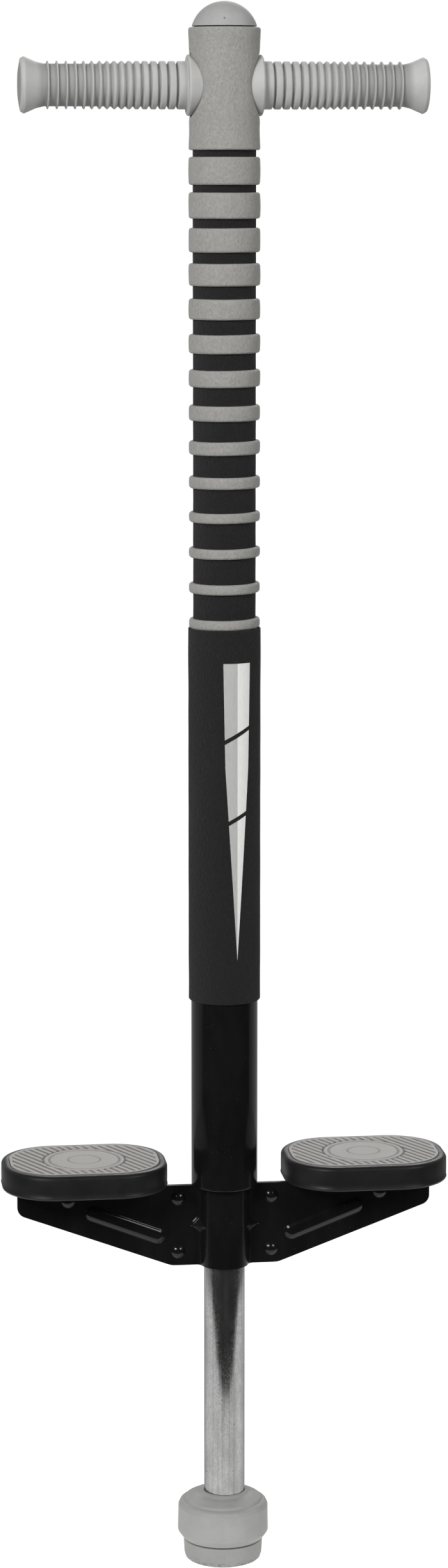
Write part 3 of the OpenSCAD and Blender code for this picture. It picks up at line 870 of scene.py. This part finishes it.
def bracket_plate(side):
    """Pressed plate of the bracket as a shell, in front (-1) or behind (1)."""
    foot, mouth = span("bracket_front")[0].z, span("spring_housing")[0].z
    base, high = foot - EDGE_DROP, foot + FLANGE_TOP
    hollow = CHANNEL - PLATE
    half = plate_columns()
    xs = [-x for x in reversed(half[1:])] + half
    outer, inner = [], []
    shares = [0.015 * k for k in range(14)]
    shares += [0.21 + 0.0075 * k for k in range(68)]
    shares += [0.72 + 0.02 * k for k in range(15)]
    for share in shares:
        line_out, line_in = [], []
        for x in xs:
            low = plate_low(abs(x), base)
            top = mouth + (high - mouth) * smooth(STEP - 0.8, STEP + 0.8, abs(x))
            z = low + (top - low) * share
            out = plate_face(abs(x), z)
            line_out.append((x, side * out, z))
            back = math.sqrt(hollow ** 2 - x * x) if abs(x) < hollow else 0.06
            line_in.append((x, side * min(max(back, 0.06), out - 0.4), z))
        outer.append(line_out)
        inner.append(line_in)
    return slab(outer, inner)


BEAD_PROFILE = [(-1.2, -0.1), (-1.2, 0.02), (-0.7, 0.05), (-0.3, 0.16)]
BEAD_PROFILE += [(3.7 * k / 12, 0.30 + 1.2 * (1 - (1 - k / 12) ** 3)) for k in range(13)]


def bracket_bead(side, way):
    """Pressed bead with round ends along the slope of a plate, on the left (-1) or right (1)."""
    run = BEAD_B - BEAD_A
    middle = (BEAD_A + BEAD_B) / 2
    along = run.normalized()
    verts, faces = swept((run.length / 2 + 4.15, 4.15, 4.15), 0, BEAD_PROFILE)
    placed = []
    for x, y, h in verts:
        p = middle + along * x + Vector((-along.y, along.x)) * y
        placed.append((way * p.x, side * (PLATE + h), p.y))
    return placed, faces


def bracket_flange(side, centre):
    """Foot of a plate, bent out under a pedal."""
    foot = span("bracket_front")[0].z
    low, top = foot + FLANGE_LOW, foot + FLANGE_TOP
    bend = [
        (PLATE + BEND * (1 - math.cos(t)), low - BEND + BEND * math.sin(t))
        for t in (0, 0.4, 0.8, 1.2, 1.57)
    ]
    outer, inner = [], []
    for k in range(41):
        x = centre - (FLANGE_STRAIGHT + FLANGE_ROUND) * math.cos(math.pi * k / 40)
        reach = abs(x - centre)
        end = FLANGE_DEPTH
        if reach >= FLANGE_STRAIGHT:
            drop = FLANGE_ROUND ** 2 - (reach - FLANGE_STRAIGHT) ** 2
            end += math.sqrt(max(0, drop)) - FLANGE_ROUND
        under = [(PLATE, low - 5)] + bend + [(end, low)]
        over = [(0.06, low - 5), (0.06, top - 2), (0.3, top - 1), (0.8, top - 0.3)]
        over += [(1.6, top), (3, top), (end, top)]
        outer.append([(x, side * y, z) for y, z in under])
        inner.append([(x, side * y, z) for y, z in over])
    return slab(outer, inner)


def bracket(node, side):
    """One pressed plate with its flanges and beads."""
    centre = (span("pedal_right")[0].x + span("pedal_right")[1].x) / 2
    verts, faces = joined(
        bracket_plate(side), bracket_flange(side, centre), bracket_flange(side, -centre),
        bracket_bead(side, 1), bracket_bead(side, -1),
    )
    piece = make_piece(f"{node}_plate", verts, faces, [node], "gloss_black_steel", 50)
    bevel(piece, 0.35, 60)


def rivets():
    """Domed rivet heads on both faces of the bracket, with their shanks."""
    parts = []
    for lo, hi in islands("bracket_rivets"):
        centre = ((lo.x + hi.x) / 2, 0, (lo.z + hi.z) / 2)
        radius, reach = (hi.x - lo.x) / 2, hi.y
        rise = reach - PLATE - 0.25
        dome = (radius * radius + rise * rise) / (2 * rise)
        edge = math.asin(radius / dome)
        head = [(0, reach)]
        head += [
            (dome * math.sin(t), reach - dome * (1 - math.cos(t)))
            for t in [edge * k / 10 for k in range(1, 11)]
        ]
        head += [(radius, PLATE - 0.05), (2.5, PLATE - 0.05)]
        back = [(r, -y) for r, y in reversed(head)]
        parts.append(lathe(head + back, 40, "Y", centre))
    verts, faces = joined(*parts)
    make_piece("rivet_heads", verts, faces, ["bracket_rivets"], "gloss_black_steel", 50)


# ---- pedals ----

INSET = 5.0
BOSS = 24.5
PEDAL_CORNER = 32
TREAD_ANGLE = math.radians(-62)
TREAD_PITCH = 4.4
TREAD_DEPTH = 1.0


def slab_outline(hw, hd, r, steps=20):
    """Rounded rectangle, the same number of points for every inset."""
    out = []
    for quarter, (sx, sy) in enumerate([(1, 1), (-1, 1), (-1, -1), (1, -1)]):
        for k in range(steps + 1):
            a = math.pi / 2 * (quarter + k / steps)
            out.append((sx * (hw - r) + r * math.cos(a), sy * (hd - r) + r * math.sin(a)))
    return out


def swept(size, centre, profile):
    """A profile of (inset, height) carried round a rounded rectangle and closed."""
    hw, hd, r = size
    rings = [[(centre + x, y, z) for x, y in slab_outline(hw - d, hd - d, r - d)] for d, z in profile]
    n = len(rings[0])
    verts = [p for ring in rings for p in ring]
    faces = [
        (i * n + j, i * n + (j + 1) % n, (i + 1) * n + (j + 1) % n, (i + 1) * n + j)
        for i in range(len(rings) - 1) for j in range(n)
    ]
    faces.append(tuple(reversed(range(n))))
    faces.append(tuple((len(rings) - 1) * n + j for j in range(n)))
    return verts, faces


def pedal_size(node):
    """Half width, half depth and corner radius of a pedal."""
    lo, hi = span(node)
    return (hi.x - lo.x) / 2, (hi.y - lo.y) / 2, PEDAL_CORNER


def pedal(node):
    """Moulded rubber pedal: soft rim round the tread, parting line, hollow underside."""
    lo, hi = span(node)
    centre = (lo.x + hi.x) / 2
    low, top = lo.z, hi.z
    profile = [(15, low + 2.8), (15, low + 1.0), (14.6, low + 0.3), (14, low)]
    profile += [(1.3, low), (0.75, low + 0.15), (0.4, low + 0.5), (0.3, low + 0.9)]
    profile += [(0.05, low + 1.15), (0.0, low + 1.35), (0.05, low + 1.55), (0.3, low + 1.8)]
    profile += [(0.22, low + 5), (0.22, low + 9)]
    profile += [
        (0.22 + 2.8 * (1 - math.cos(t)), top - 2.8 + 2.8 * math.sin(t))
        for t in [math.pi / 2 * k / 8 for k in range(1, 9)]
    ]
    profile += [(INSET - 0.35, top), (INSET - 0.1, top - 0.12), (INSET, top - 0.4), (INSET, top - 3)]
    verts, faces = swept(pedal_size(node), centre, profile)
    soft = [(x, y, z + 0.10 * grain((x, y, z), 24) * smooth(low + 2, top, z)) for x, y, z in verts]
    make_piece(f"{node}_body", soft, faces, [node], "pedal_rubber", 50)


def edge_distance(x, y, hw, hd, r):
    """Distance inside a rounded rectangle's edge."""
    dx, dy = abs(x) - (hw - r), abs(y) - (hd - r)
    return r - (math.hypot(max(dx, 0), max(dy, 0)) + min(max(dx, dy), 0))


def tread_height(x, y, across, size):
    """Height of the tread's face above its grooves, from 0 to 1."""
    border = 1 - smooth(1.5, 2.1, edge_distance(x, y, *size))
    place = (across / TREAD_PITCH + 0.5) % 1 - 0.5
    rib = 1 - smooth(0.27, 0.36, abs(place))
    if math.hypot(x, y) < BOSS + 0.8:
        rib = 0
    return max(border, rib)


def line_reach(c, size):
    """Where the line at offset c across the ribs meets the tread's edge, on both sides."""
    along = Vector((math.cos(TREAD_ANGLE), math.sin(TREAD_ANGLE)))
    across = Vector((-along.y, along.x))
    ends = []
    for way in (-1, 1):
        low, high = 0.0, 80.0
        for _ in range(26):
            middle = (low + high) / 2
            p = across * c + along * middle * way
            low, high = (middle, high) if edge_distance(p.x, p.y, *size) > 0 else (low, middle)
        ends.append(way * low)
    return ends, along, across


def tread_field(centre, size, low, top):
    """Ribbed face cut to the tread's outline, as a shell."""
    s, c = math.sin(TREAD_ANGLE), math.cos(TREAD_ANGLE)
    widest = max(abs(-s * x + c * y) for x, y in slab_outline(*size)) - 0.05
    cuts = []
    for i in range(-20, 21):
        for f in (-0.5, -0.42, -0.36, -0.315, -0.27, -0.1, 0.1, 0.27, 0.315, 0.36, 0.42):
            c = (i + f) * TREAD_PITCH
            if abs(c) < widest:
                cuts.append(c)
    cuts = [-widest] + cuts + [widest]
    outer, inner = [], []
    rows = 130
    for c in cuts:
        (a, b), along, across = line_reach(c, size)
        line_out, line_in = [], []
        for k in range(rows + 1):
            p = across * c + along * (a + (b - a) * k / rows)
            h = tread_height(p.x, p.y, c, size)
            line_out.append((centre + p.x, p.y, top - TREAD_DEPTH * (1 - h)))
            line_in.append((centre + p.x, p.y, low))
        outer.append(line_out)
        inner.append(line_in)
    return slab(outer, inner)


def pedal_pad(node):
    """Grey tread: slanting ribs, smooth border and a plain ringed boss."""
    lo, hi = span(node)
    centre = (lo.x + hi.x) / 2
    hw, hd, corner = pedal_size(node.replace("_pad", ""))
    size = (hw - INSET - 0.12, hd - INSET - 0.12, corner - INSET)
    low, top = lo.z, hi.z
    field = tread_field(centre, size, low, top)
    boss = [(0, top - 0.02), (8.6, top - 0.02), (9.1, top - 0.05), (9.5, top - 0.4), (10.1, top - 0.4)]
    boss += [(10.5, top - 0.05), (11, top - 0.02), (19.8, top - 0.02), (20.4, top - 0.06), (20.9, top - 0.5)]
    boss += [(21.7, top - 0.5), (22.1, top - 0.08), (22.6, top), (23.9, top), (24.4, top - 0.25)]
    boss += [(24.7, top - TREAD_DEPTH), (24.7, low + 0.3), (0, low + 0.3)]
    verts, faces = joined(field, lathe(boss, 120, "Z", (centre, 0, 0)))
    make_piece(f"{node}_tread", verts, faces, [node], "tread_rubber", 60)


# ---- plunger, tip and spring ----

def plunger_tube():
    """Bright tube with rounded ends."""
    lo, hi = span("plunger_tube")
    wall = 2
    loop = dense(rounded([
        (hi.x - wall, lo.z, 0.3), (hi.x, lo.z, 0.5), (hi.x, hi.z, 0.5), (hi.x - wall, hi.z, 0.3),
    ]), 6)
    verts, faces = lathe(loop, 160)
    make_piece("plunger_shaft", verts, faces, ["plunger_tube"], "bright_steel")


# How far the soft tip leans over on its tube.
TIP_ASKEW = 0.9
PAD_RADIUS = 23.8


def tip():
    """Rubber tip: lip, shallow shoulder, round bulb, groove and worn ground pad."""
    hi = span("tip")[1]
    bulb, top, pad = hi.x, hi.z, PAD_RADIUS
    seat, tube = span("tip_washer")[0].z, span("plunger_tube")[1].x
    loop = [(0, 1.0, 0), (5.0, 1.0, 0.3), (5.6, 0.1, 0.4), (9.2, 0.1, 0.4), (9.8, 1.0, 0.3)]
    loop += [(12.4, 1.0, 0.3), (13.0, 0.1, 0.4), (16.6, 0.1, 0.4), (17.2, 1.0, 0.3), (18.4, 1.0, 0.3)]
    loop += [(19.0, 0.0, 0.4), (pad - 0.8, 0.0, 1.5), (pad, 3.2, 1.5), (pad + 0.45, 12.1, 0.4)]
    loop += [(pad - 0.9, 12.9, 0.3), (pad + 1.3, 13.5, 0.5), (bulb + 0.3, 17.4, 1.6)]
    loop += [(bulb + 0.3, 20, 6), (bulb, 33.3, 1.0), (bulb - 1.1, 35.6, 1.4)]
    loop += [(bulb - 2.4, 36.5, 0.8), (bulb - 3.4, 36.6, 1.0), (23.2, 38.2, 2), (18.6, 40.5, 6)]
    loop += [(15.6, 41.3, 1.2), (14.2, top - 0.7, 0.6), (13.0, top - 0.3, 0.4)]
    loop += [(tube + 0.04, top - 0.3, 0.1), (tube + 0.04, seat + 1, 0)]
    loop += [(tube + 0.05, seat, 0), (0, seat, 0)]
    verts, faces = lathe(dense(rounded(loop, 6), 1.5), 160)
    worn = []
    for x, y, z in verts:
        r = math.hypot(x, y)
        low = (1 - smooth(0.4, 4.5, z)) * smooth(pad - 3, pad - 1, r)
        cut = low * max(0, grain((x, y, z * 2), 2.2) - 0.12) * 1.6
        dent = 0.10 * grain((x, y, z), 13) if r > 14 else 0
        k = (r - cut + dent) / r if r > 1 else 1
        worn.append((x * k - TIP_ASKEW * smooth(12, 17, r), y * k, z))
    make_piece("tip_rubber", worn, faces, ["tip"], "tip_rubber", 50)


def spring():
    """Round-wire coil with closed ends, on a mesh of its own."""
    lo, hi = span("spring")
    wire, coils, steps, sides = 4.4, 22, 44, 12
    mean = hi.x - wire / 2
    low, rise = lo.z + wire / 2, hi.z - lo.z - wire
    closed, share = 1.6 * wire, 1.5 / coils
    total = coils * steps
    verts = []
    for i in range(total + 1):
        t = i / total
        if t < share:
            z = closed * t / share
        elif t > 1 - share:
            z = rise - closed * (1 - t) / share
        else:
            z = closed + (rise - 2 * closed) * (t - share) / (1 - 2 * share)
        a = 2 * math.pi * i / steps
        for j in range(sides):
            b = 2 * math.pi * j / sides
            r = mean + wire / 2 * math.cos(b)
            verts.append((r * math.cos(a), r * math.sin(a), low + z + wire / 2 * math.sin(b)))
    faces = []
    for i in range(total):
        for j in range(sides):
            a, b, on = i * sides, (i + 1) * sides, (j + 1) % sides
            faces.append((a + j, b + j, b + on, a + on))
    faces += [tuple(range(sides)), tuple(total * sides + j for j in reversed(range(sides)))]
    piece = make_piece("spring_coil", verts, faces, ["spring"], "spring_steel", 60)
    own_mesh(piece)


# ---- CAD nodes that stay ----

KEPT = {
    "upper_tube": "zinc_steel", "tube_reducer": "zinc_steel", "upper_spring_seat": "zinc_steel",
    "housing_collar": "zinc_steel", "guide_bushing": "nylon", "stop_bumper": "black_rubber",
    "handlebar": "zinc_steel", "handlebar_pin": "zinc_steel", "spring_seat": "nylon",
    "plunger_head": "zinc_steel", "guide_ring": "nylon", "tip_washer": "zinc_steel",
}


def dress_kept_nodes():
    """Gives the carried-over CAD nodes their material and soft edges."""
    for node, slot in KEPT.items():
        data = NODES[node].data
        data.materials.clear()
        data.materials.append(MATTERS[slot])
        bevel(NODES[node], 0.2, 40)


# ---- stage, light and camera ----

FLOOR_FRONT = 0.32
FLOOR_BACK = 0.75
FLOOR_SIDE = 0.56


def floor():
    """Plain pale floor: an oval that ends close before the stick."""
    data = bpy.data.meshes.new("floor")
    corners = []
    for k in range(96):
        t = 2 * math.pi * k / 96
        reach = FLOOR_BACK if math.sin(t) > 0 else FLOOR_FRONT
        corners.append((FLOOR_SIDE * math.cos(t), reach * math.sin(t), 0))
    data.from_pydata(corners, [], [tuple(range(len(corners)))])
    data.materials.append(floor_matter())
    piece = new_object("floor", data)


# Brightness of the room from the viewer's side (0) to behind the stick (1).
ROOM = ((0.46, 0.045), (0.56, 0.34), (0.70, 0.42), (0.90, 0.42))


def world():
    """White room: bright behind and beside the stick, dim on the viewer's side."""
    made = bpy.data.worlds.new("studio")
    made.use_nodes = True
    bpy.context.scene.world = made
    tree = made.node_tree
    tree.nodes.clear()
    new, link = tree.nodes.new, tree.links.new
    place = new("ShaderNodeTexCoord")
    split = new("ShaderNodeSeparateXYZ")
    link(place.outputs["Generated"], split.inputs[0])
    share = new("ShaderNodeMapRange")
    link(split.outputs["Y"], share.inputs["Value"])
    for key, value in {"From Min": -1, "From Max": 1}.items():
        share.inputs[key].default_value = value
    ramp = new("ShaderNodeValToRGB")
    link(share.outputs["Result"], ramp.inputs["Fac"])
    ramp.color_ramp.interpolation = "EASE"
    stops = ramp.color_ramp.elements
    while len(stops) < len(ROOM):
        stops.new(0.5)
    for stop, (place_on, level) in zip(stops, ROOM):
        stop.position = place_on
        stop.color = (level, level, level, 1)
    room = new("ShaderNodeBackground")
    link(ramp.outputs["Color"], room.inputs["Color"])
    white = new("ShaderNodeBackground")
    white.inputs["Color"].default_value = (1, 1, 1, 1)
    white.inputs["Strength"].default_value = 1.02
    path = new("ShaderNodeLightPath")
    mix = new("ShaderNodeMixShader")
    link(path.outputs["Is Camera Ray"], mix.inputs["Fac"])
    link(room.outputs[0], mix.inputs[1])
    link(white.outputs[0], mix.inputs[2])
    out = new("ShaderNodeOutputWorld")
    link(mix.outputs[0], out.inputs["Surface"])


def soft_light(name, place, aim, width, height, power):
    """One rectangular lamp turned towards a point."""
    data = bpy.data.lights.new(name, "AREA")
    data.shape = "RECTANGLE"
    data.size, data.size_y, data.energy = width, height, power
    light = new_object(name, data)
    light.location = place
    way = (Vector(aim) - Vector(place)).normalized()
    light.rotation_mode = "QUATERNION"
    light.rotation_quaternion = way.to_track_quat("-Z", "Y")


def lights():
    """Two big soft boxes high in front, left and right, and one behind for the far side."""
    aim = (0, 0, 0.75)
    soft_light("box_left", (-1.42, -1.75, 1.6), aim, 0.95, 0.75, 52)
    soft_light("box_right", (1.42, -1.75, 1.6), aim, 0.95, 0.75, 27)
    soft_light("box_behind", (0.6, 2.4, 1.9), aim, 1.2, 1.0, 34)


def camera():
    """Camera fitted to the photo: 7 degrees round from the front, looking slightly down."""
    data = bpy.data.cameras.new("camera")
    data.lens = 86.5
    data.sensor_width = 36
    made = new_object("camera", data)
    made.location = (-0.2709, -2.2044, 0.855)
    made.rotation_euler = (math.radians(80.5), 0, math.radians(-7))
    bpy.context.scene.camera = made


camera()
world()
lights()
floor()
bpy.context.scene.view_settings.view_transform = "Standard"
top_cap()
foam_head()
foam_core()
foam_rings()
foam_lower()
flash("flash_left_half", "flash_dark", -1, "print_grey")
flash("flash_right_half", "flash_light", 1, "print_white")
grip("grip_left", -1)
grip("grip_right", 1)
spring_housing()
bracket("bracket_front", -1)
bracket("bracket_back", 1)
rivets()
for pedal_node in ("pedal_left", "pedal_right"):
    pedal(pedal_node)
for pad_node in ("pedal_pad_left", "pedal_pad_right"):
    pedal_pad(pad_node)
plunger_tube()
tip()
spring()
dress_kept_nodes()
